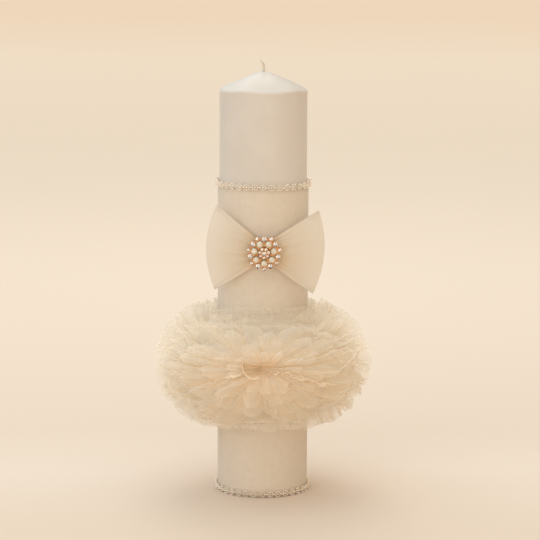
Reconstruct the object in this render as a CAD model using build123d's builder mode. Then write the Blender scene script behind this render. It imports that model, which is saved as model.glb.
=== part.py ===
from build123d import *
from math import cos, radians, sin
import os

# Unity candle: a wax pillar in a fabric sleeve, with two pearl trims, a ribbon bow with a brooch,
# and a ring of gathered tulle. Millimetres, +Z up. The origin is the centre of the foot,
# and the bow faces -Y.

# ---- driving dimensions ----
CANDLE_R = 35.0
SHOULDER_Z = 325.0
APEX_Z = 339.0
CONE_CROWN = 1.0  # how far the cone swells above a straight one
WICK_R = 1.2
WICK_BORE_R = 1.3
SUSTAINER_R = 10.0
SLEEVE_R = 36.4
SLEEVE_THICK = 1.2
SLEEVE_TOP_Z = 250.0

FLOWER_COUNT = 36
FLOWER_RING_R = 37.9
PETAL_COUNT = 8
PETAL_RING_R = 1.95
PETAL_D = 1.35
FLOWER_CENTRE_D = 1.7
LINK_D = 1.1
THREAD_R = 0.3
UPPER_TRIM_Z = 250.0
LOWER_TRIM_Z = 2.75

BOW_X = 1.0
BOW_Z = 200.0
BOW_REACH = 47.0  # from the pinch to the middle of a loop's outer edge
BOW_CORNER_X = 38.0
BOW_CORNER_Z = 34.0
PINCH_HALF = 7.0

BASE_BACK = 46.6  # distance of the brooch's back face in front of the candle's axis
BASE_THICK = 1.0
HUB_R = 5.0
HUB_RISE = 1.0
PEARL_COUNT = 7
PEARL_D = 5.4
PEARL_RING_R = 7.85
LARGE_STONE_D = 3.8
LARGE_RING_R = 11.35
SMALL_STONE_D = 2.6
SMALL_RING_R = 12.65
CENTRE_STONE_D = 3.3
INNER_STONE_D = 2.2
INNER_RING_R = 3.5

RUFFLE_Z = 104.5
GATHER_R = 37.9
RUFFLE_OUT = 51.5  # how far the tulle stands out from the gather line
RUFFLE_UP = 50.5
TIER_COUNT = 6
FAN_DEG = 87.0
BAND_HALF_WIDTH = 5.0

os.makedirs("parts", exist_ok=True)


def save(solid, name):
    solid.label = name
    export_step(solid, f"parts/{name}.step")


# ---- wax pillar: cone top, wick bore, dished foot ----
EDGE_BREAK = 0.8
SHOULDER_ROUND = 1.6
RECESS_DEPTH = 1.6
NECK_R = 1.75
NECK_TOP_Z = 7.5
GAP = 0.1

with BuildPart() as candle_body:
    with BuildSketch(Plane.XZ):
        with BuildLine():
            Polyline(
                (WICK_BORE_R, APEX_Z),
                (WICK_BORE_R, NECK_TOP_Z + GAP),
                (NECK_R + GAP, NECK_TOP_Z + GAP),
                (NECK_R + GAP, RECESS_DEPTH),
                (SUSTAINER_R + 3 * GAP, RECESS_DEPTH),
                (SUSTAINER_R + 3 * GAP, 0),
                (CANDLE_R - EDGE_BREAK, 0),
                (CANDLE_R, EDGE_BREAK),
                (CANDLE_R, SHOULDER_Z),
            )
            ThreePointArc(
                (CANDLE_R, SHOULDER_Z),
                ((CANDLE_R + WICK_BORE_R) / 2, (SHOULDER_Z + APEX_Z) / 2 + CONE_CROWN),
                (WICK_BORE_R, APEX_Z),
            )
        make_face()
    revolve(axis=Axis.Z)
    rims = candle_body.edges().filter_by(GeomType.CIRCLE)
    shoulder = rims.filter_by_position(Axis.Z, SHOULDER_Z - 0.1, SHOULDER_Z + 0.1)
    fillet(shoulder, SHOULDER_ROUND)
save(candle_body.part, "candle_body")

# ---- wick: full height, with its tip curled towards -X ----
WICK_FOOT_Z = RECESS_DEPTH + 0.05
WICK_BEND_Z = 343.4
WICK_BEND_R = 5.2
WICK_BEND_DEG = 62.0

with BuildPart() as wick:
    with BuildLine(Plane.XZ) as wick_path:
        Line((0, WICK_FOOT_Z), (0, WICK_BEND_Z))
        JernArc((0, WICK_BEND_Z), (0, 1), WICK_BEND_R, WICK_BEND_DEG)
    with BuildSketch(Plane.XY.offset(WICK_FOOT_Z)):
        Circle(WICK_R)
    sweep(path=wick_path.wires()[0])
save(wick.part, "wick")

# ---- sustainer: a thin disc with a crimped neck round the wick's foot ----
SUSTAINER_THICK = 0.3
SUSTAINER_Z = RECESS_DEPTH - SUSTAINER_THICK - 0.05

with BuildPart() as wick_sustainer:
    with BuildSketch(Plane.XY.offset(SUSTAINER_Z)):
        Circle(SUSTAINER_R)
    extrude(amount=SUSTAINER_THICK)
    with BuildSketch(Plane.XY.offset(SUSTAINER_Z + SUSTAINER_THICK)):
        Circle(NECK_R)
        Circle(WICK_R + 0.05, mode=Mode.SUBTRACT)
    extrude(amount=NECK_TOP_Z - SUSTAINER_Z - SUSTAINER_THICK)
save(wick_sustainer.part, "wick_sustainer")

# ---- fabric sleeve: one turn of cloth, its two ends meeting at the back ----
SLEEVE_FOOT_Z = 0.4
SEAM_GAP = 0.4

with BuildPart() as fabric_sleeve:
    with BuildSketch(Plane.XY.offset(SLEEVE_FOOT_Z)):
        Circle(SLEEVE_R)
        Circle(SLEEVE_R - SLEEVE_THICK, mode=Mode.SUBTRACT)
        with Locations((0, SLEEVE_R)):
            Rectangle(SEAM_GAP, 4 * SLEEVE_THICK, mode=Mode.SUBTRACT)
    extrude(amount=SLEEVE_TOP_Z - SLEEVE_FOOT_Z)
save(fabric_sleeve.part, "fabric_sleeve")


# ---- pearl trims: flowers of small pearls strung on one thread ----
def flower_planes(height, turn=0.0):
    """One plane for each flower, facing out from the axis; turn is a share of the pitch."""
    planes = []
    for index in range(FLOWER_COUNT):
        angle = radians(360 * (index + turn) / FLOWER_COUNT)
        out = (sin(angle), -cos(angle), 0)
        along = (cos(angle), sin(angle), 0)
        centre = (FLOWER_RING_R * out[0], FLOWER_RING_R * out[1], height)
        planes.append(Plane(origin=centre, x_dir=along, z_dir=out))
    return planes


def make_trim(prefix, height):
    with BuildPart() as thread:
        with Locations((0, 0, height)):
            Torus(SLEEVE_R + THREAD_R + 0.05, THREAD_R)
    with BuildPart(*flower_planes(height)) as petals:
        with PolarLocations(PETAL_RING_R, PETAL_COUNT, start_angle=22.5):
            Sphere(PETAL_D / 2)
    with BuildPart(*flower_planes(height)) as centres:
        Sphere(FLOWER_CENTRE_D / 2)
    with BuildPart(*flower_planes(height, turn=0.5)) as links:
        Sphere(LINK_D / 2)
    save(thread.part, f"{prefix}_thread")
    save(petals.part, f"{prefix}_petals")
    save(centres.part, f"{prefix}_centres")
    save(links.part, f"{prefix}_links")


make_trim("upper_trim", UPPER_TRIM_Z)
make_trim("lower_trim", LOWER_TRIM_Z)

# ---- bow: two flared loops, drawn in at a bound pinch under a centre band ----
LOOP_GAP = 0.3
LOOP_FRONT = (42.5, 44.5, 33.2)  # distance in front of the axis at the pinch, midway and outer edge
LOOP_BACK = (38.2, 36.6, 31.4)


def make_loop(side, name):
    """One loop: its plan is swept back round the candle, its face is a flared fan."""
    inner = BOW_X + side * LOOP_GAP
    middle = BOW_X + side * BOW_REACH / 2
    outer = BOW_X + side * (BOW_REACH + 0.5)
    corner = BOW_X + side * BOW_CORNER_X
    tip = BOW_X + side * BOW_REACH
    with BuildPart() as loop:
        with BuildSketch(Plane.XY.offset(BOW_Z - BOW_CORNER_Z - 2)):
            with BuildLine():
                front = ThreePointArc(
                    (inner, -LOOP_FRONT[0]), (middle, -LOOP_FRONT[1]), (outer, -LOOP_FRONT[2])
                )
                back = ThreePointArc(
                    (outer, -LOOP_BACK[2]), (middle, -LOOP_BACK[1]), (inner, -LOOP_BACK[0])
                )
                Line(front @ 1, back @ 0)
                Line(back @ 1, front @ 0)
            make_face()
        extrude(amount=2 * BOW_CORNER_Z + 4)
        with BuildSketch(Plane.XZ):
            with BuildLine():
                edge = ThreePointArc(
                    (corner, BOW_Z - BOW_CORNER_Z), (tip, BOW_Z), (corner, BOW_Z + BOW_CORNER_Z)
                )
                Polyline(edge @ 1, (inner, BOW_Z + PINCH_HALF), (inner, BOW_Z - PINCH_HALF), edge @ 0)
            make_face()
        extrude(amount=2 * CANDLE_R, mode=Mode.INTERSECT)
    save(loop.part, name)


make_loop(-1, "bow_left_loop")
make_loop(1, "bow_right_loop")


def make_pinch_rings(name, starts, width, depths, half_height, thick):
    """Flat rings round the pinch, each width along X; the ribbon lies inside the two depths."""
    back, front = depths
    across = front - back
    with BuildPart() as rings:
        for start in starts:
            with BuildSketch(Plane.YZ.offset(BOW_X + start)):
                with Locations((-(front + back) / 2, BOW_Z)):
                    RectangleRounded(across + 2 * thick, 2 * (half_height + thick), 1.2 + thick)
                    RectangleRounded(across, 2 * half_height, 1.2, mode=Mode.SUBTRACT)
            extrude(amount=width)
    save(rings.part, name)


BINDING_D = 0.4
BAND_WIDTH = 5.0
BAND_THICK = 0.6
make_pinch_rings("bow_binding_thread", (-1.0, -0.2, 0.6), BINDING_D, (37.9, 42.9), 7.9, BINDING_D)
make_pinch_rings("bow_centre_band", (-BAND_WIDTH / 2,), BAND_WIDTH, (37.3, 43.5), 9.6, BAND_THICK)


# ---- brooch: openwork base with pearls and stones, sewn on through a shank ----
def brooch_plane(depth, x=0.0, z=0.0):
    """Plane facing -Y, depth in front of the candle's axis; its +Y is the brooch's top."""
    return Plane(origin=(BOW_X + x, -depth, BOW_Z + z), x_dir=(1, 0, 0), z_dir=(0, -1, 0))


BASE_FRONT = BASE_BACK + BASE_THICK
PEARL_START = -90.0
STONE_START = 90.0
ARM_WIDTH = 1.3

with BuildPart() as brooch_base:
    with BuildSketch(brooch_plane(BASE_BACK)):
        Circle(HUB_R)
        Circle(11.7)
        Circle(10.2, mode=Mode.SUBTRACT)
        Circle(HUB_R)
        with PolarLocations(SMALL_RING_R / 2, PEARL_COUNT, start_angle=PEARL_START):
            Rectangle(SMALL_RING_R, ARM_WIDTH)
        with PolarLocations(LARGE_RING_R / 2, PEARL_COUNT, start_angle=STONE_START):
            Rectangle(LARGE_RING_R, ARM_WIDTH)
        with PolarLocations(PEARL_RING_R, PEARL_COUNT, start_angle=PEARL_START):
            Circle(1.9)
        with PolarLocations(SMALL_RING_R, PEARL_COUNT, start_angle=PEARL_START):
            Circle(1.3)
        with PolarLocations(LARGE_RING_R, PEARL_COUNT, start_angle=STONE_START):
            Circle(1.7)
    extrude(amount=BASE_THICK)
    with BuildSketch(brooch_plane(BASE_FRONT)):
        Circle(HUB_R - 0.1)
    extrude(amount=HUB_RISE, taper=30)
save(brooch_base.part, "brooch_base")

SHANK_R = 1.6
SHANK_WIRE_R = 0.4

with BuildPart() as brooch_shank:
    with BuildSketch(brooch_plane(BASE_BACK)) as shank_foot:
        with Locations((SHANK_R, 0)):
            Circle(SHANK_WIRE_R)
    shank_axis = Axis((BOW_X, -BASE_BACK, BOW_Z), (0, 0, 1))
    revolve(axis=shank_axis, revolution_arc=180)
save(brooch_shank.part, "brooch_shank")

PEARL_SEAT = 0.3
CUP_R = 1.8
CUP_HEIGHT = 0.9

with BuildPart(brooch_plane(BASE_FRONT)) as brooch_pearl_cups:
    with PolarLocations(PEARL_RING_R, PEARL_COUNT, start_angle=PEARL_START):
        Cylinder(CUP_R, CUP_HEIGHT, align=(Align.CENTER, Align.CENTER, Align.MIN))
    pearl_centre = PEARL_SEAT + PEARL_D / 2
    with PolarLocations(PEARL_RING_R, PEARL_COUNT, start_angle=PEARL_START):
        with Locations((0, 0, pearl_centre)):
            Sphere(PEARL_D / 2 + 0.05, mode=Mode.SUBTRACT)
save(brooch_pearl_cups.part, "brooch_pearl_cups")

with BuildPart(brooch_plane(BASE_FRONT + PEARL_SEAT + PEARL_D / 2)) as brooch_pearls:
    with PolarLocations(PEARL_RING_R, PEARL_COUNT, start_angle=PEARL_START):
        Sphere(PEARL_D / 2)
save(brooch_pearls.part, "brooch_pearls")


def make_stones(stone_name, cup_name, diameter, ring_r, start, seat):
    """A ring of cut stones and the claw cups that hold them; ring_r 0 is a single stone."""
    girdle_r = diameter / 2
    pavilion = 0.75 * girdle_r
    crown = 0.32 * girdle_r
    wall = 0.22
    floor = 0.2
    girdle = floor + 0.1 + pavilion
    count = PEARL_COUNT if ring_r else 1
    for_each = {"radius": ring_r, "count": count, "start_angle": start}
    with BuildPart(brooch_plane(seat + girdle)) as stones:
        with PolarLocations(**for_each):
            with Locations((0, 0, -pavilion / 2)):
                Cone(0.12 * girdle_r, girdle_r, pavilion)
            with Locations((0, 0, crown / 2)):
                Cone(girdle_r, 0.6 * girdle_r, crown)
    with BuildPart(brooch_plane(seat)) as cups:
        with PolarLocations(**for_each):
            with Locations((0, 0, girdle / 2)):
                Cone(0.55 * girdle_r + wall, girdle_r + wall, girdle)
            with PolarLocations(girdle_r + 0.12, 4, start_angle=45):
                Cylinder(0.2, girdle + crown, align=(Align.CENTER, Align.CENTER, Align.MIN))
            with Locations((0, 0, floor + (girdle - floor) / 2 + 0.04)):
                Cone(0.3 * girdle_r, girdle_r + 0.05, girdle - floor + 0.08, mode=Mode.SUBTRACT)
            with Locations((0, 0, girdle + crown / 2)):
                Cylinder(girdle_r + 0.05, crown + 0.2, mode=Mode.SUBTRACT)
    save(stones.part, stone_name)
    save(cups.part, cup_name)


HUB_TOP = BASE_FRONT + HUB_RISE
make_stones("brooch_large_stones", "brooch_large_cups", LARGE_STONE_D, LARGE_RING_R, STONE_START, BASE_FRONT)
make_stones("brooch_small_stones", "brooch_small_cups", SMALL_STONE_D, SMALL_RING_R, PEARL_START, BASE_FRONT)
make_stones("brooch_inner_stones", "brooch_inner_cups", INNER_STONE_D, INNER_RING_R, PEARL_START, HUB_TOP)
make_stones("brooch_centre_stone", "brooch_centre_cup", CENTRE_STONE_D, 0, STONE_START, HUB_TOP)

# ---- tulle ring: strips sewn along their middle to a band, fanned out in tiers ----
ROOT_R = 2.0  # clear space round the gathering thread
TIER_GAP_DEG = 0.5
GATHER_THREAD_R = 0.4

with BuildPart() as tulle_gather_band:
    with BuildSketch(Plane.XY.offset(RUFFLE_Z - BAND_HALF_WIDTH)):
        Circle(GATHER_R - 0.1)
        Circle(SLEEVE_R + 0.1, mode=Mode.SUBTRACT)
    extrude(amount=2 * BAND_HALF_WIDTH)
save(tulle_gather_band.part, "tulle_gather_band")

with BuildPart() as tulle_gathering_thread:
    with Locations((0, 0, RUFFLE_Z)):
        Torus(GATHER_R + GATHER_THREAD_R + 0.2, GATHER_THREAD_R)
save(tulle_gathering_thread.part, "tulle_gathering_thread")

TIER_DEG = 2 * FAN_DEG / TIER_COUNT
for tier_number in range(TIER_COUNT):
    low = -FAN_DEG + tier_number * TIER_DEG + TIER_GAP_DEG / 2
    spread = TIER_DEG - TIER_GAP_DEG
    with BuildPart() as tulle_tier:
        with BuildSketch(Plane.XZ):
            with BuildLine():
                rim = EllipticalCenterArc(
                    (GATHER_R, RUFFLE_Z), RUFFLE_OUT, RUFFLE_UP, low, arc_size=spread
                )
                root = CenterArc((GATHER_R, RUFFLE_Z), ROOT_R, low, spread)
                Line(rim @ 1, root @ 1)
                Line(root @ 0, rim @ 0)
            make_face()
        revolve(axis=Axis.Z)
    save(tulle_tier.part, f"tulle_tier_{tier_number + 1}")
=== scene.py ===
import bpy
import numpy as np
from math import atan, cos, pi, radians, sin
from mathutils import Matrix, Vector


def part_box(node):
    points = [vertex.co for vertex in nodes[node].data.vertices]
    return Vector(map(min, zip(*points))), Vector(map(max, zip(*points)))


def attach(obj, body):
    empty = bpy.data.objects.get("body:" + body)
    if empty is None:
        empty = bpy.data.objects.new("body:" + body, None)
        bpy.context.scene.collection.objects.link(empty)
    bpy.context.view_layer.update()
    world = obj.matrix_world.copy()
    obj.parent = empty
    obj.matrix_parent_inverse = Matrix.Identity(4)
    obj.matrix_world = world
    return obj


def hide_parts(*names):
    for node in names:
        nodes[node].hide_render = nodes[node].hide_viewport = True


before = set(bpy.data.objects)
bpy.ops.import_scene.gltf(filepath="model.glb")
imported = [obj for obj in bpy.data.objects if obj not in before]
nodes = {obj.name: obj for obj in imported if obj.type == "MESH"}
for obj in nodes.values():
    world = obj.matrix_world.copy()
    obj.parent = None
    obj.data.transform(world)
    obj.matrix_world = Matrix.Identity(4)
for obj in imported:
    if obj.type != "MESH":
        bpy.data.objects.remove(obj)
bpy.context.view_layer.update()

MM = 0.001
TURN = 2 * pi


# ---- places and sizes, read from the frame ----
def middle(node):
    """Centre of a node's box."""
    low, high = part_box(node)
    return (low + high) / 2


def span(node):
    """Width, depth and height of a node's box."""
    low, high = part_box(node)
    return high - low


WAX_R = span("candle_body").x / 2
APEX_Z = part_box("candle_body")[1].z
SLEEVE_R = span("fabric_sleeve").x / 2
SLEEVE_LOW_Z, SLEEVE_TOP_Z = (corner.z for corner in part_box("fabric_sleeve"))
UPPER_TRIM_Z = middle("upper_trim_petals").z
LOWER_TRIM_Z = middle("lower_trim_petals").z
BEAD_RING_R = (span("upper_trim_centres").x - span("upper_trim_centres").z) / 2
BOW = middle("bow_centre_band")
RUFFLE_Z = middle("tulle_gather_band").z
GATHER_R = span("tulle_gather_band").x / 2
RUFFLE_OUT = span("tulle_tier_3").x / 2 - GATHER_R
RUFFLE_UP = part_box("tulle_tier_6")[1].z - RUFFLE_Z


# ---- colours and nodes ----
def colour(code):
    """sRGB hex to the linear values that Blender works in."""
    channels = [int(code[i:i + 2], 16) / 255 for i in (1, 3, 5)]
    linear = [c / 12.92 if c <= 0.04045 else ((c + 0.055) / 1.055) ** 2.4 for c in channels]
    return (*linear, 1.0)


def add(tree, kind, *values, stops=(), **named):
    """Adds a node. Names in small letters are its properties, and stops are a ramp's (place, hex) pairs.
    Its inputs come in order or by name: numbers, sockets, or nodes, which stand for their first output."""
    made = tree.nodes.new("ShaderNode" + kind)
    for name in [name for name in named if name.islower()]:
        setattr(made, name, named.pop(name))
    for number, (place, code) in enumerate(stops):
        elements = made.color_ramp.elements
        element = elements[number] if number < 2 else elements.new(place)
        element.position, element.color = place, colour(code)
    for key, value in [*enumerate(values), *named.items()]:
        socket = made.inputs[key.replace("_", " ") if isinstance(key, str) else key]
        if isinstance(value, bpy.types.Node):
            value = value.outputs[0]
        if isinstance(value, bpy.types.NodeSocket):
            tree.links.new(value, socket)
        else:
            socket.default_value = value
    return made


def start_material(name):
    """An empty material, its tree, and object coordinates in millimetres, where a noise scale of 1/s gives
    features s mm across."""
    material = bpy.data.materials.new(name)
    material.use_nodes = True
    tree = material.node_tree
    tree.nodes.clear()
    place = add(tree, "VectorMath", add(tree, "TexCoord").outputs["Object"], Scale=1 / MM, operation="SCALE")
    return material, tree, place


# ---- materials ----
def cast_wax():
    """Paraffin and stearin, cast and polished: light sinks in, edges glow, the skin is softly uneven."""
    material, tree, place = start_material("cast_paraffin_wax")
    cloud = add(tree, "TexNoise", Vector=place, Scale=1 / 22, Detail=4.0, Roughness=0.55)
    skin = add(tree, "TexNoise", Vector=place, Scale=1 / 1.6, Detail=3.0, Roughness=0.55)
    swell = add(tree, "Math", cloud, 3.0, operation="MULTIPLY")
    relief = add(tree, "Math", swell, skin, operation="ADD")
    wax = add(
        tree, "BsdfPrincipled",
        Base_Color=add(tree, "ValToRGB", cloud, stops=[(0.3, "#D9D1C8"), (0.7, "#DDD6CE")]),
        Roughness=0.42, IOR=1.44,
        Subsurface_Weight=0.5, Subsurface_Radius=(1.0, 0.8, 0.6), Subsurface_Scale=4.0 * MM,
        Normal=add(tree, "Bump", Height=relief, Distance=0.06 * MM),
    )
    add(tree, "OutputMaterial", Surface=wax)
    return material


def crepe_cloth():
    """Matt polyester crepe, glued flat: a fine tight weave with a little nap, no shine.
    Its 0.25 mm threads are drawn at 0.8 mm so that they show."""
    thread_mm = 0.8
    material, tree, place = start_material("matt_crepe_cloth")
    parts = add(tree, "SeparateXYZ", place).outputs
    angle = add(tree, "Math", parts["Y"], parts["X"], operation="ARCTAN2")
    girth = add(tree, "Math", angle, SLEEVE_R / MM, operation="MULTIPLY")
    crossing = []
    for way in (girth, parts["Z"]):
        phase = add(tree, "Math", way, TURN / thread_mm, operation="MULTIPLY")
        crossing.append(add(tree, "Math", phase, operation="SINE"))
    threads = add(tree, "Math", *crossing, operation="MULTIPLY")
    slub = add(tree, "TexNoise", Vector=place, Scale=1 / 5, Detail=4.0, Roughness=0.55)
    fleck = add(tree, "TexNoise", Vector=place, Scale=1 / 0.7, Detail=2.0, Roughness=0.55)
    level = add(tree, "Math", add(tree, "Math", threads, 0.10, operation="MULTIPLY"), slub, operation="ADD")
    nap = add(tree, "Math", threads, add(tree, "Math", fleck, 1.5, operation="MULTIPLY"), operation="ADD")
    crepe = add(
        tree, "BsdfPrincipled",
        Base_Color=add(tree, "ValToRGB", level, stops=[(0.3, "#DFD2C1"), (0.7, "#E4D7C7")]),
        Roughness=0.82, IOR=1.46, Sheen_Weight=0.25, Sheen_Roughness=0.5,
        Normal=add(tree, "Bump", Height=nap, Distance=0.05 * MM),
    )
    add(tree, "OutputMaterial", Surface=crepe)
    return material


def sheer_cloth(tree, tint, cover, glow, sheen, relief):
    """A sheer cloth: part reflects, part lets light glow through, and the gaps between threads are open.
    Seen along its surface it closes up, as the threads hide the gaps."""
    cloth = add(
        tree, "BsdfPrincipled",
        Base_Color=tint, Roughness=0.8, IOR=1.5, Sheen_Weight=sheen, Sheen_Roughness=0.4, Normal=relief,
    )
    through = add(tree, "BsdfTranslucent", Color=tint, Normal=relief)
    body = add(tree, "MixShader", glow, cloth, through)
    slant = add(tree, "Math", add(tree, "LayerWeight", Blend=0.5).outputs["Facing"], 2.0, operation="POWER")
    closed = add(tree, "Math", slant, 0.5, cover, operation="MULTIPLY_ADD")
    add(tree, "OutputMaterial", Surface=add(tree, "MixShader", closed, add(tree, "BsdfTransparent"), body))


def nylon_tulle():
    """Soft nylon net with hexagons under 1 mm across. Packed folds near the gather close up into cream;
    the open net near the cut edge is a haze. Deep folds are painted warmer and darker, as painted shade.
    The net is drawn as grain 0.9 mm across."""
    material, tree, place = start_material("nylon_tulle_net")
    cloud = add(tree, "TexNoise", Vector=place, Scale=1 / 9, Detail=4.0, Roughness=0.55)
    grain = add(tree, "TexNoise", Vector=place, Scale=1 / 0.9, Detail=2.0, Roughness=0.55)
    fold = add(tree, "Attribute", attribute_name="open").outputs["Fac"]
    cover = add(tree, "Math", fold, -0.55, 0.92, operation="MULTIPLY_ADD")
    mesh = add(tree, "Math", grain, 0.5, operation="SUBTRACT")
    cover = add(tree, "Math", mesh, 0.10, cover, operation="MULTIPLY_ADD")
    drift = add(tree, "Math", cloud, 0.5, operation="SUBTRACT")
    # The fold values also paint shade: deep folds and the gather take the warm, darker end of the ramp.
    mottle_and_painted_light = add(tree, "Math", drift, 0.3, fold, operation="MULTIPLY_ADD")
    tint = add(tree, "ValToRGB", mottle_and_painted_light, stops=[(0.05, "#FFE2B6"), (0.45, "#FFF4E2"), (0.9, "#FFF9EE")])
    relief = add(tree, "Bump", Height=grain, Distance=0.03 * MM)
    sheer_cloth(tree, tint, cover, glow=0.5, sheen=0.1, relief=relief)
    return material


def stiff_organza(name, cover):
    """Stiff organza: smooth crisp threads with a faint sheen, nearly closed when doubled, and painted
    warmer and darker towards the pinch, as painted shade among the crowded folds.
    Its 0.2 mm threads are drawn as grain 0.6 mm across."""
    loop_mm = 45
    material, tree, place = start_material(name)
    cloud = add(tree, "TexNoise", Vector=place, Scale=1 / 14, Detail=4.0, Roughness=0.55)
    grain = add(tree, "TexNoise", Vector=place, Scale=1 / 0.6, Detail=2.0, Roughness=0.55)
    weave = add(tree, "Math", grain, 0.5, operation="SUBTRACT")
    closed = add(tree, "Math", weave, 0.10, cover, operation="MULTIPLY_ADD")
    pinch = add(tree, "VectorMath", place, tuple(BOW / MM), operation="DISTANCE").outputs["Value"]
    drift = add(tree, "Math", add(tree, "Math", cloud, 0.5, operation="SUBTRACT"), 0.2, operation="MULTIPLY")
    # Painted shade: the ramp runs from warm and darker at the pinch to pale out along the loop.
    mottle_and_painted_light = add(tree, "Math", pinch, 1 / loop_mm, drift, operation="MULTIPLY_ADD")
    tint = add(tree, "ValToRGB", mottle_and_painted_light, stops=[(0.15, "#F4DDB9"), (0.5, "#F4E9D8"), (0.95, "#F5EEE3")])
    relief = add(tree, "Bump", Height=grain, Distance=0.05 * MM)
    sheer_cloth(tree, tint, closed, glow=0.35, sheen=0.3, relief=relief)
    return material


def lacquered_pearl(name, code, blush, lacquer):
    """Pearl lacquer over glass or plastic beads: a clear glossy coat over a cream body with rosy clouds."""
    material, tree, place = start_material(name)
    cloud = add(tree, "TexNoise", Vector=place, Scale=1 / 1.8, Detail=3.0, Roughness=0.55)
    pearl = add(
        tree, "BsdfPrincipled",
        Base_Color=add(tree, "ValToRGB", cloud, stops=[(0.3, blush), (0.6, code)]),
        Roughness=0.28, IOR=1.53, Specular_IOR_Level=0.7,
        Coat_Weight=1.0, Coat_Roughness=0.05, Coat_IOR=lacquer,
        Subsurface_Weight=0.15, Subsurface_Scale=1.0 * MM,
        Normal=add(tree, "Bump", Height=cloud, Distance=0.01 * MM),
    )
    add(tree, "OutputMaterial", Surface=pearl)
    return material


def rose_gold_plate():
    """Copper-gold plate on cast zinc: warm metal, polished in some spots and slightly cloudy in others."""
    material, tree, place = start_material("rose_gold_plate")
    cloud = add(tree, "TexNoise", Vector=place, Scale=1 / 1.2, Detail=4.0, Roughness=0.55)
    dimples = add(tree, "TexNoise", Vector=place, Scale=1 / 0.5, Detail=3.0, Roughness=0.55)
    dull = add(tree, "Math", cloud, 0.22, operation="MULTIPLY")
    gold = add(
        tree, "BsdfPrincipled",
        Base_Color=add(tree, "ValToRGB", cloud, stops=[(0.3, "#A5734C"), (0.7, "#D9A779")]),
        Metallic=1.0, Roughness=add(tree, "Math", 0.12, dull, operation="ADD"),
        Normal=add(tree, "Bump", Height=dimples, Distance=0.02 * MM),
    )
    add(tree, "OutputMaterial", Surface=gold)
    return material


def cut_crystal():
    """Machine-cut lead-free crystal: clear, sharp-edged facets that flash and go dark by turns."""
    material, tree, place = start_material("cut_crystal")
    haze = add(tree, "TexNoise", Vector=place, Scale=1 / 0.6, Detail=3.0, Roughness=0.55)
    crystal = add(
        tree, "BsdfPrincipled",
        Base_Color=add(tree, "ValToRGB", haze, stops=[(0.2, "#D3D4D8"), (0.8, "#E8E8EB")]),
        Roughness=0.02, IOR=1.58, Transmission_Weight=1.0,
    )
    add(tree, "OutputMaterial", Surface=crystal)
    return material


def silver_foil():
    """Silver foil on the back of each stone: throws the light back out through the facets."""
    material, tree, place = start_material("silver_foil")
    grain = add(tree, "TexNoise", Vector=place, Scale=1 / 0.4, Detail=3.0, Roughness=0.55)
    foil = add(
        tree, "BsdfPrincipled",
        Base_Color=add(tree, "ValToRGB", grain, stops=[(0.2, "#ECEAE8"), (0.8, "#FAF9F8")]),
        Metallic=1.0, Roughness=0.05,
    )
    add(tree, "OutputMaterial", Surface=foil)
    return material


def spun_fibre(name, dark, light, fibre_mm):
    """Spun thread or yarn: fine fibres along the strand, matt."""
    material, tree, place = start_material(name)
    fibres = add(tree, "TexNoise", Vector=place, Scale=1 / fibre_mm, Detail=5.0, Roughness=0.7)
    yarn = add(
        tree, "BsdfPrincipled",
        Base_Color=add(tree, "ValToRGB", fibres, stops=[(0.3, dark), (0.7, light)]),
        Roughness=0.9, Sheen_Weight=0.3,
        Normal=add(tree, "Bump", Height=fibres, Distance=0.08 * MM),
    )
    add(tree, "OutputMaterial", Surface=yarn)
    return material


def tinned_steel():
    """Thin tinned steel, stamped: dull grey metal with faint drawing marks."""
    material, tree, place = start_material("tinned_steel")
    marks = add(tree, "TexNoise", Vector=place, Scale=1 / 0.8, Detail=5.0, Roughness=0.55)
    dull = add(tree, "Math", marks, 0.2, operation="MULTIPLY")
    steel = add(
        tree, "BsdfPrincipled",
        Base_Color=add(tree, "ValToRGB", marks, stops=[(0.3, "#A9A8A4"), (0.7, "#C9C8C4")]),
        Metallic=1.0, Roughness=add(tree, "Math", 0.25, dull, operation="ADD"),
        Normal=add(tree, "Bump", Height=marks, Distance=0.02 * MM),
    )
    add(tree, "OutputMaterial", Surface=steel)
    return material


WAX = cast_wax()
SLEEVE_CLOTH = crepe_cloth()
TULLE = nylon_tulle()
ORGANZA = stiff_organza("stiff_organza", 0.80)
HEM = stiff_organza("organza_folded_hem", 0.95)
BROOCH_PEARL = lacquered_pearl("lacquered_glass_pearl", "#E2D7C3", "#CFBC9C", 2.2)
TRIM_PEARL = lacquered_pearl("moulded_bead_pearl", "#FDF4E6", "#F0DCC2", 2.0)
ROSE_GOLD = rose_gold_plate()
CRYSTAL = cut_crystal()
FOIL = silver_foil()
WICK_COTTON = spun_fibre("braided_cotton", "#CBBEA6", "#F4ECDD", 0.35)
THREAD = spun_fibre("polyester_thread", "#D8BD97", "#EBD8BC", 0.3)
TAPE = spun_fibre("woven_tape", "#E4D0B2", "#F1E3CC", 0.5)
STEEL = tinned_steel()


# ---- making pieces ----
def piece(name, verts, faces, materials, slot, replaced=(), smooth=True, indices=None):
    """A mesh object that rides on the candle."""
    mesh = bpy.data.meshes.new(name)
    mesh.from_pydata([tuple(v) for v in verts], [], [tuple(f) for f in faces])
    for material in materials:
        mesh.materials.append(material)
    mesh.polygons.foreach_set("use_smooth", [smooth] * len(mesh.polygons))
    if indices is not None:
        mesh.polygons.foreach_set("material_index", indices)
    mesh.update()
    made = bpy.data.objects.new(name, mesh)
    bpy.context.scene.collection.objects.link(made)
    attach(made, "root")
    if replaced:
        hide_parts(*replaced)
    return made


def grid_faces(rows, columns, closed=False):
    """Quads of a grid of rows by columns points; closed joins the last column to the first."""
    faces = []
    last = columns if closed else columns - 1
    for row in range(rows - 1):
        for column in range(last):
            beside = (column + 1) % columns
            low, high = row * columns, (row + 1) * columns
            faces.append((low + column, low + beside, high + beside, high + column))
    return faces


def finish_node(name, material):
    """Gives a CAD node that stays its real finish."""
    for place in nodes[name].material_slots:
        place.material = material


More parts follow.
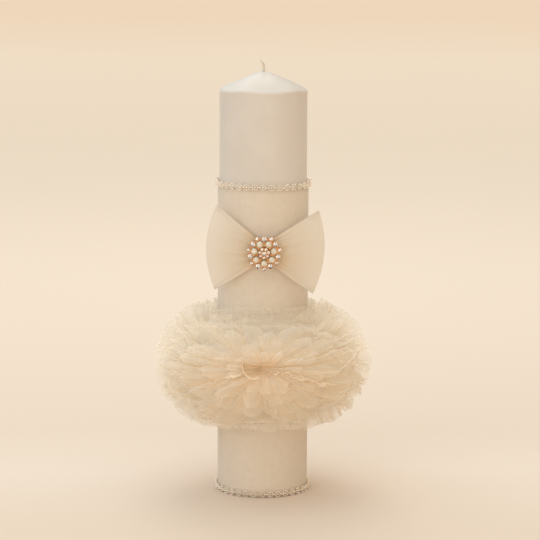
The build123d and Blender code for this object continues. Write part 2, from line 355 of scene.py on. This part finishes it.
def waves(rng, lowest, highest, count):
    """A smooth random function of angle that closes on itself, about -1 to 1."""
    orders = rng.integers(lowest, highest + 1, count)
    phases = rng.uniform(0, TURN, count)
    heights = rng.uniform(0.5, 1.0, count)
    heights /= np.sqrt(np.sum(heights ** 2))

    def value(angle):
        return sum(h * np.sin(m * angle + p) for m, p, h in zip(orders, phases, heights))
    return value


# ---- wax pillar ----
def make_pillar():
    """Recess in the foot, straight wall, rounded shoulder and a slightly domed cone, cast a little uneven."""
    around = 192
    cone_rise, cone_swell = 14 * MM, 1.0 * MM
    shoulder_z = APEX_Z - cone_rise
    round_r, foot_break = 2.2 * MM, 0.8 * MM
    neck_r, neck_rise = 1.9 * MM, 6 * MM
    recess_r, recess_z = span("wick_sustainer").x / 2 + 0.3 * MM, 1.6 * MM
    wall_drift, rim_rise, inner_r = 0.12 * MM, 0.35 * MM, 20 * MM
    angles = np.linspace(0, TURN, around, endpoint=False)
    rng = np.random.default_rng(3)
    drift = waves(rng, 1, 4, 4)
    rim_drift = waves(rng, 2, 9, 6)
    profile = [
        (neck_r, recess_z + neck_rise), (neck_r, recess_z), (recess_r, recess_z), (recess_r, 0.3 * MM),
        (recess_r + 0.3 * MM, 0.0), (WAX_R - foot_break, 0.0), (WAX_R, foot_break),
    ]
    profile += [(WAX_R, z) for z in np.linspace(20 * MM, shoulder_z - 6 * MM, 26)]
    slope = atan(cone_rise / WAX_R)
    for turn in np.linspace(0, 1, 8):
        bend = turn * (pi / 2 - slope)
        rounded = (WAX_R - round_r + round_r * cos(bend), shoulder_z - round_r * 0.8 + round_r * sin(bend))
        profile.append(rounded)
    top_r, top_z = profile[-1]
    for share in np.linspace(0.05, 1, 22):
        r = top_r + (2.4 * MM - top_r) * share
        profile.append((r, top_z + (APEX_Z - 0.3 * MM - top_z) * share + cone_swell * sin(pi * share)))
    profile += [(1.7 * MM, APEX_Z + 0.2 * MM), (1.3 * MM, APEX_Z + 0.5 * MM), (1.2 * MM, APEX_Z - 3 * MM)]
    verts = []
    for r, z in profile:
        outside = r > inner_r
        on_side = min(1.0, max(0.0, (z - 60 * MM) / (200 * MM)))
        near_rim = np.exp(-((z - shoulder_z) / (4 * MM)) ** 2)
        for angle in angles:
            wide = r + wall_drift * on_side * drift(angle) * outside
            tall = z + rim_rise * near_rim * rim_drift(angle) * outside
            verts.append((wide * sin(angle), -wide * cos(angle), tall))
    faces = grid_faces(len(profile), around, closed=True)
    piece("wax_pillar", verts, faces, [WAX], "wax", ["candle_body"])


# ---- braided wick ----
def tube_along(points, radii, sides=8):
    """Rings of a tube round a line of points, and its faces; the ends are closed."""
    points = np.array(points)
    tangents = np.gradient(points, axis=0)
    tangents /= np.linalg.norm(tangents, axis=1)[:, None]
    side = np.cross(tangents[0], (0.3, 1.0, 0.1))
    verts = []
    for centre, along, r in zip(points, tangents, radii):
        side = side - along * np.dot(side, along)
        side /= np.linalg.norm(side)
        other = np.cross(along, side)
        for step in range(sides):
            angle = TURN * step / sides
            verts.append(centre + r * (cos(angle) * side + sin(angle) * other))
    faces = grid_faces(len(points), sides, closed=True)
    faces.append(tuple(range(sides))[::-1])
    faces.append(tuple(range((len(points) - 1) * sides, len(points) * sides)))
    return verts, faces


def merge(parts):
    """Joins (verts, faces) pairs into one pair."""
    verts, faces = [], []
    for part_verts, part_faces in parts:
        shift = len(verts)
        verts.extend(part_verts)
        faces.extend(tuple(index + shift for index in face) for face in part_faces)
    return verts, faces


def make_wick():
    """Four strands braided round each other, thinner at the tip, which curls over to the left."""
    foot_z, bend_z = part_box("wick")[0].z + 0.8 * MM, 343.0 * MM
    bend_r, bend_end = 5.6 * MM, radians(64)
    pitch, strands, strand_r, swing_r = 3.2 * MM, 4, 0.56 * MM, 0.52 * MM
    taper = 5.0 * MM
    spine = [(0.0, 0.0, z) for z in np.arange(foot_z, bend_z, pitch / 16)]
    for angle in np.linspace(0.05, bend_end, 26):
        spine.append((-bend_r * (1 - cos(angle)), 0.0, bend_z + bend_r * sin(angle)))
    spine = np.array(spine)
    spine[:, 1] += 0.2 * MM * np.sin(spine[:, 2] * 900)
    length = np.concatenate([[0], np.cumsum(np.linalg.norm(np.diff(spine, axis=0), axis=1))])
    fade = np.clip((length[-1] - length) / taper, 0.3, 1.0)
    tangents = np.gradient(spine, axis=0)
    tangents /= np.linalg.norm(tangents, axis=1)[:, None]
    across = np.cross(tangents, (0, 1, 0))
    parts = []
    for strand in range(strands):
        turn = TURN * strand / strands + TURN * length / pitch
        swing = swing_r * fade
        line = spine + (np.cos(turn) * swing)[:, None] * across
        line[:, 1] += np.sin(turn) * swing
        parts.append(tube_along(line, strand_r * (0.55 + 0.45 * fade), 6))
    verts, faces = merge(parts)
    piece("braided_wick", verts, faces, [WICK_COTTON], "cotton_wick", ["wick"])


# ---- sleeve ----
def make_sleeve():
    """One turn of cloth with its end lapped over its start at the back, and both edges turned in."""
    across, tall = 260, 40
    lap, lap_rise = radians(12), 0.9 * MM
    thick, turned_in, unevenness = 1.1 * MM, 0.25 * MM, 0.10 * MM
    rng = np.random.default_rng(8)
    bulge = waves(rng, 2, 7, 5)
    verts = []
    for layer in (0, 1):
        for row, z in enumerate(np.linspace(SLEEVE_LOW_Z, SLEEVE_TOP_Z, tall)):
            at_edge = row in (0, tall - 1)
            for share in np.linspace(0, 1, across):
                angle = pi + share * (TURN + lap)
                lapped = max(0.0, (share * (TURN + lap) - TURN) / lap)
                rise = lap_rise * min(1.0, lapped * 6)
                r = SLEEVE_R + rise + unevenness * bulge(angle + 3 * z)
                r -= thick * layer * (1 if lapped == 0 else 0.55)
                r -= turned_in if at_edge and layer == 0 else 0.0
                verts.append((r * sin(angle), -r * cos(angle), z))
    per = across * tall
    faces = grid_faces(tall, across)
    faces += [tuple(reversed([i + per for i in f])) for f in grid_faces(tall, across)]
    for column in range(across - 1):
        faces.append((column + 1, column, column + per, column + per + 1))
        top = (tall - 1) * across + column
        faces.append((top, top + 1, top + 1 + per, top + per))
    for row in range(tall - 1):
        start = row * across
        faces.append((start, start + across, start + across + per, start + per))
        end = start + across - 1
        faces.append((end + across, end, end + per, end + across + per))
    made = piece("sleeve_cloth_wrap", verts, faces, [SLEEVE_CLOTH], "sleeve_cloth", ["fabric_sleeve"])


# ---- pearl trims ----
def bead_shape(rings=8, sides=12):
    """A unit bead: a sphere with a small dimple at each end of its threading hole."""
    verts = []
    for ring in range(rings + 1):
        polar = pi * (0.06 + 0.88 * ring / rings)
        for side in range(sides):
            angle = TURN * side / sides
            verts.append((sin(polar) * cos(angle), sin(polar) * sin(angle), cos(polar)))
    faces = grid_faces(rings + 1, sides, closed=True)
    verts += [(0, 0, 0.86), (0, 0, -0.86)]
    for side in range(sides):
        beside = (side + 1) % sides
        faces.append((beside, side, len(verts) - 2))
        faces.append((rings * sides + side, rings * sides + beside, len(verts) - 1))
    return np.array(verts), [tuple(reversed(f)) for f in faces]


def make_trim(prefix, height, seed, sag_right=0.0):
    """Flowers of small pearls strung in a row; each sits a little differently from its neighbours."""
    rng = np.random.default_rng(seed)
    unit, unit_faces = bead_shape()
    flower_count, petal_count = 36, 8
    petal_r, petal_ring, centre_r, link_r = 0.66 * MM, 2.12 * MM, 0.88 * MM, 0.6 * MM
    half = TURN / flower_count / 2
    up = Vector((0, 0, 1))
    parts = []

    def bead(spot, r, turn):
        matrix = Matrix.Rotation(turn, 3, "X") @ Matrix.Rotation(turn * 1.7, 3, "Z")
        parts.append((list(unit @ np.array(matrix) * r + np.array(spot)), unit_faces))

    for index in range(flower_count):
        angle = TURN * index / flower_count + rng.normal(0, 0.006)
        out = Vector((sin(angle), -cos(angle), 0))
        along = Vector((cos(angle), sin(angle), 0))
        drop = -sag_right * (1 + sin(angle)) / 2
        lean = rng.normal(0, 0.10)
        roll = rng.uniform(0, TURN / petal_count)
        centre = out * (BEAD_RING_R + rng.normal(0, 0.06) * MM)
        centre = centre + up * (height + drop + rng.normal(0, 0.10) * MM)
        face_up = (up * cos(lean) + out * sin(lean)).normalized()
        for petal in range(petal_count):
            around = roll + TURN * petal / petal_count
            spot = centre + (along * cos(around) + face_up * sin(around)) * petal_ring * rng.normal(1, 0.02)
            bead(spot, petal_r * rng.normal(1, 0.03), rng.uniform(0, TURN))
        bead(centre - along.cross(face_up) * 0.2 * MM, centre_r, rng.uniform(0, TURN))
        link_out = Vector((sin(angle + half), -cos(angle + half), 0))
        link = link_out * (BEAD_RING_R - 0.15 * MM) + up * (height + drop + rng.normal(0, 0.12) * MM)
        bead(link, link_r, rng.uniform(0, TURN))
    verts, faces = merge(parts)
    replaced = [f"{prefix}_{name}" for name in ("petals", "centres", "links")]
    piece(f"{prefix}_pearls", verts, faces, [TRIM_PEARL], "trim_pearl", replaced)
    finish_node(f"{prefix}_thread", THREAD)


# ---- bow ----
def make_loop(side, name, node, top_corner, bottom_corner, reach, seed):
    """A ribbon loop: front and back layers meet in a soft fold at the outer edge and are drawn in at the
    pinch. The corners are given from the pinch, as (x, z); reach is how far the middle of the edge stands."""
    rng = np.random.default_rng(seed)
    columns, along = 72, 60
    pinch_x, pinch_half = 0.5 * MM, 6.6 * MM
    pinch_front, pinch_back, edge_depth = 42.0 * MM, 38.7 * MM, 32.4 * MM
    swell = -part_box(node)[0].y - 43.0 * MM
    pleats = ((6, 0.55), (10, 0.32), (17, 0.16))
    pleat_phase = rng.uniform(0, TURN, 3)
    (top_x, top_z), (low_x, low_z) = top_corner, bottom_corner

    def point(share, height, layer):
        """share runs from the pinch to the outer edge, height from -1 to 1; layer is 1 in front, -1 behind."""
        up = (height + 1) / 2
        chord_x = low_x + (top_x - low_x) * up
        chord_z = low_z + (top_z - low_z) * up
        out_x = chord_x + (reach - (top_x + low_x) / 2) * (1 - height ** 2)
        in_z = pinch_half * height
        x = pinch_x + (out_x - pinch_x) * share
        z = in_z + (chord_z - in_z) * share
        puff = sin(pi * min(1.0, share) ** 0.8)
        depth = pinch_back + (edge_depth - pinch_back) * share ** 2.0 - 1.2 * MM * puff
        if layer > 0:
            front = pinch_front + (edge_depth - pinch_front) * share ** 2.2 + swell * puff
            depth = depth + (front - depth) * (1 - height ** 2 * 0.55)
        pleat = 0.0
        for (folds, size), phase in zip(pleats, pleat_phase):
            pleat += size * sin(folds * height * pi / 2 * 1.3 + phase + layer)
        depth += pleat * MM * 1.1 * (1 - share) ** 1.4 * min(1.0, share * 12 + 0.25)
        depth += 0.5 * MM * sin(2.2 * height * pi + pleat_phase[0] * layer) * share ** 2 * (1 - share) * 3
        return x, z, depth

    shares = [*np.linspace(0.0, 0.97, 28), 0.985, 0.994, 1.0]
    loop_rows = [(share, 1) for share in shares] + [(share, -1) for share in reversed(shares[:-1])]
    verts = []
    for share, layer in loop_rows:
        for height in np.linspace(-1, 1, columns):
            x, z, depth = point(share, height, layer)
            verts.append((BOW.x + side * x, -depth, BOW.z + z))
    faces = grid_faces(len(loop_rows), columns)
    if side < 0:
        faces = [tuple(reversed(f)) for f in faces]
    cloth = piece(name, verts, faces, [ORGANZA], "organza", [node])

    def along_edge(edge, inset_mm, lift_mm, layer):
        line = []
        for share in np.linspace(0.02, 0.995, along):
            half = pinch_half + (0.5 * (top_z - low_z) - pinch_half) * share
            x, z, depth = point(share, edge * (1 - inset_mm * MM / half), layer)
            line.append((BOW.x + side * x, -(depth + layer * lift_mm * MM), BOW.z + z))
        return line

    hem_mm, edge_r, stitch_r = 1.9, 0.24 * MM, 0.12 * MM
    hems = []
    for edge in (-1, 1):
        for layer in (1, -1):
            hems.append(tube_along(along_edge(edge, 0.15, 0.12, layer), [edge_r] * along, 6))
            hems.append(tube_along(along_edge(edge, hem_mm, 0.06, layer), [stitch_r] * along, 5))
            fold = [along_edge(edge, inset, 0.18, layer) for inset in (0.2, 0.8, 1.4, hem_mm)]
            hems.append(([spot for line in fold for spot in line], grid_faces(4, along)))
    hem_verts, hem_faces = merge(hems)
    hem = piece(f"{name}_hems", hem_verts, hem_faces, [HEM], "organza")


# ---- brooch stones ----
def cut_stone(girdle_r, sides):
    """A cut stone about its own axis: table, two rows of crown facets, thin girdle, foiled pavilion."""
    half = sides // 2

    def ring(r, z, count, shift=0.0):
        return [(r * cos(TURN * k / count + shift), r * sin(TURN * k / count + shift), z) for k in range(count)]

    verts = ring(0.52 * girdle_r, 0.34 * girdle_r, half)
    verts += ring(0.78 * girdle_r, 0.24 * girdle_r, half, TURN / half / 2)
    verts += ring(girdle_r, 0.05 * girdle_r, sides) + ring(girdle_r, 0, sides)
    verts.append((0, 0, -0.78 * girdle_r))
    star, upper, lower, culet = half, sides, 2 * sides, 3 * sides
    faces, foil = [tuple(range(half))], [0]
    for k in range(half):
        beside = (k + 1) % half
        before = (k - 1) % half
        faces.append((k, star + k, beside))
        faces.append((k, star + before, upper + 2 * k, star + k))
        faces.append((star + k, upper + 2 * k, upper + 2 * k + 1))
        faces.append((star + k, upper + 2 * k + 1, upper + (2 * k + 2) % sides))
        foil += [0, 0, 0, 0]
    for k in range(sides):
        beside = (k + 1) % sides
        faces.append((upper + k, lower + k, lower + beside, upper + beside))
        faces.append((lower + k, culet, lower + beside))
        foil += [0, 1]
    return verts, faces, foil


def make_stones(size, girdle_r, ring_r, count, start, sides):
    """Cut stones where the CAD node has its own, each turned and tipped a little."""
    node = f"brooch_{size}_stone" if count == 1 else f"brooch_{size}_stones"
    rng = np.random.default_rng(sides + count)
    girdle_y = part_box(node)[0].y + 0.32 * girdle_r
    face_front = Matrix(((1, 0, 0), (0, 0, -1), (0, 1, 0)))
    verts, faces, foil = cut_stone(girdle_r, sides)
    stones = []
    for index in range(count):
        angle = radians(start) + TURN * index / count
        centre = Vector((BOW.x + ring_r * cos(angle), girdle_y, BOW.z + ring_r * sin(angle)))
        turn = Matrix.Rotation(rng.uniform(0, TURN), 3, "Z")
        tip = Matrix.Rotation(rng.normal(0, 0.07), 3, "X") @ Matrix.Rotation(rng.normal(0, 0.07), 3, "Y")
        stones.append(([centre + face_front @ (tip @ (turn @ Vector(v))) for v in verts], faces))
    name = node.replace("brooch_", "").replace("stone", "cut_stone")
    piece(name, *merge(stones), [CRYSTAL, FOIL], "rhinestone", [node], smooth=False, indices=foil * count)


def make_brooch():
    """Seven pearls with stones between and outside them, and a small flower of stones in the middle."""
    make_stones("large", 1.9 * MM, 11.35 * MM, 7, 90, 16)
    make_stones("small", 1.3 * MM, 12.65 * MM, 7, -90, 12)
    make_stones("inner", 1.1 * MM, 3.5 * MM, 7, -90, 12)
    make_stones("centre", span("brooch_centre_stone").x / 2, 0.0, 1, 90, 16)
    for name in ("base", "shank", "pearl_cups", "large_cups", "small_cups", "inner_cups", "centre_cup"):
        finish_node(f"brooch_{name}", ROSE_GOLD)
    finish_node("brooch_pearls", BROOCH_PEARL)


# ---- tulle ring ----
TIERS, LAYERS_PER_TIER = 6, 3
FAN = radians(85)  # the outermost layers lie this far above and below level
PLEATS = 46
ROWS = 22  # rows of points from the gather line to the cut edge
FRONT_PARTING = radians(3)  # how far the layers part, above and below, at the front
FRONT_CUT_BACK = 0.17  # share cut off the layers at the front, where the front folds lie over them


def net(name, rows, values, replaced=(), closed=True):
    """A gathered sheet of net from rows of points. values say how open it is: 0 in a deep fold, 1 on a free
    edge."""
    columns = len(rows[0])
    verts = [spot for row in rows for spot in row]
    made = piece(name, verts, grid_faces(len(rows), columns, closed), [TULLE], "tulle", replaced)
    # The values also paint shade: the lower they are, the warmer and darker the net is tinted.
    openness = made.data.attributes.new("open", "FLOAT", "POINT")
    openness.data.foreach_set("value", np.clip(np.ravel(values), 0, 1))


def make_layer(name, fan, rng, nest, replaced):
    """One strip: pleated at the gather line, its pleats opening into long flutes up to the cut edge."""
    around, root, lowest_root = 1500, 1.6 * MM, 0.5 * MM
    angle = np.linspace(-pi, pi, around, endpoint=False)
    crowd, lean = waves(rng, 2, 7, 6), waves(rng, 2, 6, 5)
    tall, long = waves(rng, 3, 14, 8), waves(rng, 3, 14, 8)
    broad, nick = waves(rng, 6, 15, 7), waves(rng, 150, 380, 24)
    uneven = waves(rng, 8, 22, 9)
    side = 1 if fan > 0 else -1
    front, level = np.exp(-(angle / 0.85) ** 2), np.cos(fan)
    parted = FRONT_PARTING * front
    base = side * (parted + (1 - parted / (pi / 2)) * abs(fan))
    pleat = PLEATS * angle + 2.4 * nest(angle) + 1.2 * crowd(angle) + 1.1 * uneven(angle) + rng.normal(0, 0.7)
    drop = rng.uniform(0.95, 1.0)
    rows, values = [], []
    for step in np.linspace(0, 1, ROWS):
        # how far out this row lies, with a nicked cut edge
        reach = drop * (1 + 0.025 * long(angle)) + 0.011 * np.abs(nick(angle)) * step ** 10 - 0.01
        reach = reach * (1 - FRONT_CUT_BACK * level * front)
        rho = (root + step * (RUFFLE_OUT - root)) * reach
        tilt = base + (radians(3.5) * lean(angle) + radians(2.5) * nest(angle)) * step
        # small pleats, flattening outwards, on broad flutes that grow outwards
        width = TURN * (GATHER_R + rho * np.cos(tilt)) / PLEATS
        swing = np.clip(0.35 + 1.6 * step, 0, 1) * np.clip(0.85 + 0.6 * tall(angle), 0.1, 2)
        fine = width * (0.22 - 0.17 * step) * swing
        wide = (1.4 + 3.0 * level * (1 - 0.5 * front)) * MM * step ** 1.2 * broad(angle + 0.05 * step)
        lift = fine * np.sin(pleat + 0.5 * step * lean(angle)) + wide
        slide = -0.3 * step * fine * np.sin(2 * pleat)
        radial = GATHER_R + rho * np.cos(tilt) - lift * np.sin(tilt)
        rise = (rho * np.sin(tilt) + lift * np.cos(tilt)) * (RUFFLE_UP / RUFFLE_OUT)
        rise += (3.0 * front * max(0.0, sin(fan)) - 1.5 * level) * MM * step ** 2
        radial = np.maximum(radial, GATHER_R + lowest_root + 0.4 * MM * np.sin(pleat))
        turned = angle + slide / radial
        rows.append(list(zip(radial * np.sin(turned), -radial * np.cos(turned), RUFFLE_Z + rise)))
        # Low in the pleat creases and near the gather: closes the net there and paints it warmer, as painted
        # shade.
        values.append(0.45 + 0.2 * side * np.sin(pleat) * (1 - step) + 0.5 * step)
    net(name, rows, values, [replaced])


def on_face(x, z):
    """Place and outward direction on the ring's rounded face, at x across and z above its gather line."""
    level = np.clip(z / RUFFLE_UP, -0.96, 0.96)
    ring_r = GATHER_R + RUFFLE_OUT * np.sqrt(1 - level ** 2)
    x = np.clip(x, -0.96 * ring_r, 0.96 * ring_r)
    y = -np.sqrt(ring_r ** 2 - x ** 2)
    steep = (ring_r - GATHER_R) / RUFFLE_OUT ** 2
    normal = np.array([steep * x / ring_r, steep * y / ring_r, z / RUFFLE_UP ** 2])
    return np.array([x, y, z]), normal / np.linalg.norm(normal, axis=0)


def make_front_fold(number, centre, reach, buried, pleats, rng):
    """A strip drawn up to a point at the front, its folds spreading like a rosette over the face of the ring.
    reach is its share of the way to the outline; buried is how far it lies below the face."""
    around, hub = 720, 0.025
    turn = np.linspace(0, TURN, around, endpoint=False)
    crowd, flare = waves(rng, 2, 6, 5), waves(rng, 3, 8, 6)
    flute, nick, uneven = waves(rng, 7, 14, 8), waves(rng, 90, 220, 16), waves(rng, 5, 13, 7)
    phase = pleats * turn + 2.2 * crowd(turn) + 1.0 * uneven(turn)
    across, up = GATHER_R + RUFFLE_OUT, RUFFLE_UP
    rows, values = [], []
    for step in np.linspace(0, 1, ROWS):
        share = hub + (reach * (1 + 0.09 * flare(turn) + 0.035 * flute(turn)) - hub) * step
        share = share + 0.005 * np.abs(nick(turn)) * step ** 8
        turned = turn + 0.3 / pleats * np.sin(2 * phase + 1) * step
        x = centre[0] * (1 - share) + across * share * np.cos(turned)
        z = centre[1] * (1 - share) + up * share * np.sin(turned)
        face, normal = on_face(x, z)
        width = TURN * share * np.sqrt(across * up) / pleats
        fine = width * (0.21 - 0.11 * step) * np.clip(0.9 + 0.5 * flare(2 * turn), 0.2, 1.6)
        lift = fine * np.sin(phase + 0.8 * step * crowd(turn)) + 2.4 * MM * step ** 1.5 * flute(turn)
        sunk = buried + 12 * MM * np.exp(-(share / 0.13) ** 2)
        place = face + normal * (lift - sunk)
        rows.append(list(zip(place[0], place[1], RUFFLE_Z + place[2])))
        # Low in the pleat creases and near the hub: closes the net there and paints it warmer, as painted
        # shade.
        values.append(0.35 + 0.3 * np.sin(phase) * (1 - 0.6 * step) + 0.4 * step)
    net(f"tulle_front_fold_{number}", rows, values)


def make_front_folds():
    """Five strips, the widest at the back; they are caught at two spots a little apart."""
    rng = np.random.default_rng(33)
    left, right = (-13.0 * MM, 12.0 * MM), (3.0 * MM, 12.0 * MM)
    make_front_fold(1, left, 0.96, 8.0 * MM, 28, rng)
    make_front_fold(2, right, 0.83, 6.6 * MM, 26, rng)
    make_front_fold(3, left, 0.68, 5.0 * MM, 23, rng)
    make_front_fold(4, right, 0.51, 3.5 * MM, 20, rng)
    make_front_fold(5, right, 0.33, 2.0 * MM, 15, rng)


def make_front_curl():
    """The end of the middle strip, turned back on itself in a small loop at the front."""
    columns, rows = 90, 14
    front_y = -(GATHER_R + 53.0 * MM)
    edge = []
    for turn in np.linspace(-3.6, 3.9, columns):
        x = (2.5 * turn - 4.3 * sin(turn)) * MM - 14.5 * MM
        edge.append((x, front_y, RUFFLE_Z + (10.5 + 6.5 * cos(turn) - 0.3 * turn) * MM))
    root = (-9.0 * MM, -(GATHER_R + 30 * MM), RUFFLE_Z + 8.0 * MM)
    near = [(root[0] + 0.75 * (x - root[0]), root[1], root[2] + 0.7 * (z - root[2])) for x, y, z in edge]
    lines = [[tuple(a + (b - a) * step for a, b in zip(start, end)) for start, end in zip(near, edge)]
             for step in np.linspace(0, 1, rows)]
    # Low at the root: closes the net there and paints it warmer, as painted shade.
    values = np.repeat(np.linspace(0.1, 0.5, rows), columns)
    net("tulle_front_curl", lines, values, closed=False)


def make_front_frill():
    """The other end of that strip: a narrow frill from the centre to the right and a little down."""
    columns, rows, root_depth = 340, 12, 10 * MM
    rng = np.random.default_rng(5)
    along = np.linspace(0, 1, columns)
    sway, tight = waves(rng, 1, 3, 3), waves(rng, 7, 11, 4)
    x0 = (5 + 52 * along) * MM
    z0 = (9 - 15 * along ** 1.3) * MM
    lines, values = [], []
    for step in np.linspace(0, 1, rows):
        frill = step ** 1.2 * np.minimum(1, 8 * along + 0.2) * np.minimum(1, 6 * (1 - along) + 0.15)
        x = x0 + frill * 0.3 * MM * tight(TURN * along + 0.15)
        z = z0 + frill * (1.2 * MM * tight(TURN * along) + 1.8 * MM * sway(TURN * along))
        face, normal = on_face(x, z)
        place = face + normal * (0.8 * MM * step - root_depth * (1 - step))
        lines.append(list(zip(place[0], place[1], RUFFLE_Z + place[2])))
        # Low at the root: closes the net there and paints it warmer, as painted shade.
        values.append(np.full(columns, 0.2 + 0.4 * step))
    net("tulle_front_frill", lines, values, closed=False)


def make_tulle():
    """Gathered strips fanned from just above the sleeve to just below it, and drawn together at the front."""
    rng = np.random.default_rng(21)
    layers = TIERS * LAYERS_PER_TIER
    nest = waves(rng, 2, 6, 5)
    for layer in range(layers):
        fan = FAN * (2 * layer / (layers - 1) - 1)
        tier, number = layer // LAYERS_PER_TIER + 1, layer % LAYERS_PER_TIER + 1
        make_layer(f"tulle_tier_{tier}_layer_{number}", fan, rng, nest, f"tulle_tier_{tier}")
    make_front_folds()
    make_front_curl()
    make_front_frill()
    finish_node("tulle_gather_band", TAPE)
    finish_node("tulle_gathering_thread", THREAD)


# ---- camera, floor and light ----
def make_camera():
    """Eye level a little above the candle, looking down about nine degrees through a long lens."""
    camera = bpy.data.objects.new("camera", bpy.data.cameras.new("camera"))
    bpy.context.scene.collection.objects.link(camera)
    distance, height, aside = 1.8077, 0.4672, 0.0057
    down, roll = 0.1577, 0.0043
    camera.data.lens = 151.5
    camera.data.sensor_width = 36.0
    look = Vector((0, cos(down), -sin(down)))
    turn = look.to_track_quat("-Z", "Y").to_matrix() @ Matrix.Rotation(roll, 3, "Z")
    camera.matrix_world = Matrix.Translation((aside, -distance, height)) @ turn.to_4x4()
    camera.data.clip_end = 100
    camera.data.shift_y = -0.0015
    bpy.context.scene.camera = camera


def studio_paper():
    """Pale warm studio paper: matt, with hardly any texture. Its colour is painted along the distance from
    front
    to back: darkest in front of the candle, as painted shade, and lightest a few metres behind it, as a
    painted pool of light."""
    nearest_mm, front_mm, eye_mm = -200.0, 300.0, 1800.0
    material, tree, place = start_material("studio_paper")
    back = add(tree, "Math", add(tree, "SeparateXYZ", place).outputs["Y"], nearest_mm, operation="MAXIMUM")
    from_front = add(tree, "Math", back, front_mm, operation="ADD")
    from_eye = add(tree, "Math", back, eye_mm, operation="ADD")
    far = add(tree, "Math", from_front, from_eye, operation="DIVIDE")
    cloud = add(tree, "TexNoise", Vector=place, Scale=1 / 300, Detail=2.0, Roughness=0.55)
    mottle = add(tree, "Math", cloud, 0.5, operation="SUBTRACT")
    mottle_and_painted_light = add(tree, "Math", mottle, 0.04, far, operation="MULTIPLY_ADD")
    # Painted light: the stops paint shade in front of the candle and a pool of light a few metres back.
    tint = add(tree, "ValToRGB", mottle_and_painted_light, stops=[
        (0.10, "#E6D5C3"), (0.19, "#ECDDCE"), (0.25, "#E7D7C6"),
        (0.48, "#EEDECD"), (0.79, "#FAE7D1"), (0.85, "#F9E0C6"),
    ])
    grain = add(tree, "TexNoise", Vector=place, Scale=1 / 2, Detail=3.0, Roughness=0.55)
    paper = add(
        tree, "BsdfPrincipled",
        Base_Color=tint, Roughness=0.95, Specular_IOR_Level=0.1,
        Normal=add(tree, "Bump", Height=grain, Distance=0.02 * MM),
    )
    add(tree, "OutputMaterial", Surface=paper)
    return material


def make_stage():
    """A round sheet of paper, wide enough to run out of sight."""
    mesh = bpy.data.meshes.new("studio_floor")
    rings = [0.0001, 0.3, 0.8, 2.0, 5.0, 12.0, 40.0]
    sides = 64
    verts = [(r * cos(TURN * k / sides), r * sin(TURN * k / sides), 0) for r in rings for k in range(sides)]
    mesh.from_pydata(verts, [], grid_faces(len(rings), sides, closed=True))
    mesh.materials.append(studio_paper())
    floor = bpy.data.objects.new("studio_floor", mesh)
    bpy.context.scene.collection.objects.link(floor)


def area_light(name, place, target, size, watts, code):
    """A round softbox aimed at a spot."""
    light = bpy.data.lights.new(name, "AREA")
    light.shape = "DISK"
    light.size = size
    light.energy = watts
    light.color = colour(code)[:3]
    made = bpy.data.objects.new(name, light)
    bpy.context.scene.collection.objects.link(made)
    made.location = place
    made.rotation_mode = "QUATERNION"
    made.rotation_quaternion = (Vector(target) - Vector(place)).to_track_quat("-Z", "Y")


HORIZON, ZENITH, FROM_BACK, DARK_FRONT = 0.47, 0.92, 0.08, 0.22
FRONT_LOSSES = (0.05, 0.20, 0.40)  # share of red, green and blue that the front wall swallows


def make_world():
    """Light from a white room: brightest overhead, cool white from the left, dim and warm from the right."""
    world = bpy.data.worlds.new("soft_studio")
    bpy.context.scene.world = world
    world.use_nodes = True
    tree = world.node_tree
    tree.nodes.clear()
    ways = add(tree, "SeparateXYZ", add(tree, "TexCoord").outputs["Generated"]).outputs
    level = add(tree, "Math", ways["Z"], ZENITH, HORIZON, operation="MULTIPLY_ADD")
    level = add(tree, "Math", ways["Y"], FROM_BACK, level, operation="MULTIPLY_ADD")
    facing = add(tree, "Math", ways["Y"], -1.0, operation="MULTIPLY")
    facing = add(tree, "Math", facing, 0.0, operation="MAXIMUM")
    front = add(tree, "Math", facing, 10.0, operation="POWER")
    level = add(tree, "Math", front, -DARK_FRONT, level, operation="MULTIPLY_ADD")
    raised = add(tree, "Math", ways["Z"], 0.0, operation="MAXIMUM")
    side = add(tree, "Math", ways["X"], 0.7, 0.38, operation="MULTIPLY_ADD")
    side = add(tree, "Math", raised, -0.45, side, operation="MULTIPLY_ADD")
    tint = add(tree, "ValToRGB", side, stops=[(0.0, "#F2F6F6"), (0.9, "#D7BE98")])
    losses = [add(tree, "Math", front, -loss, 1.0, operation="MULTIPLY_ADD") for loss in FRONT_LOSSES]
    warmed = add(tree, "VectorMath", tint, add(tree, "CombineXYZ", *losses), operation="MULTIPLY")
    add(tree, "OutputWorld", Surface=add(tree, "Background", Color=warmed, Strength=level))


def make_light():
    """A softbox overhead and behind, a window in front on the left, and a warm card low on the right."""
    make_world()
    area_light("overhead_softbox", (-0.1, 1.0, 1.4), (0, 0.1, 0), 0.9, 4.0, "#FFF9F0")
    area_light("window", (-0.75, -1.6, 0.6), (0, 0, 0.15), 1.3, 5.0, "#FFFAF0")
    area_light("low_fill", (0.5, -1.6, 0.1), (0, 0, 0.08), 1.0, 6.5, "#FFEBD4")
    bpy.context.scene.view_settings.view_transform = "Standard"


make_camera()
make_stage()
make_light()
make_pillar()
make_wick()
make_sleeve()
finish_node("wick_sustainer", STEEL)
make_trim("upper_trim", UPPER_TRIM_Z + 0.8 * MM, 5, 1.0 * MM)
make_trim("lower_trim", LOWER_TRIM_Z, 6)
make_loop(-1, "bow_left_loop_cloth", "bow_left_loop", (0.0375, 0.036), (0.039, -0.0315), 0.0457, 11)
make_loop(1, "bow_right_loop_cloth", "bow_right_loop", (0.0428, 0.032), (0.0387, -0.0345), 0.0475, 12)
finish_node("bow_centre_band", ORGANZA)
finish_node("bow_binding_thread", THREAD)
make_brooch()
make_tulle()
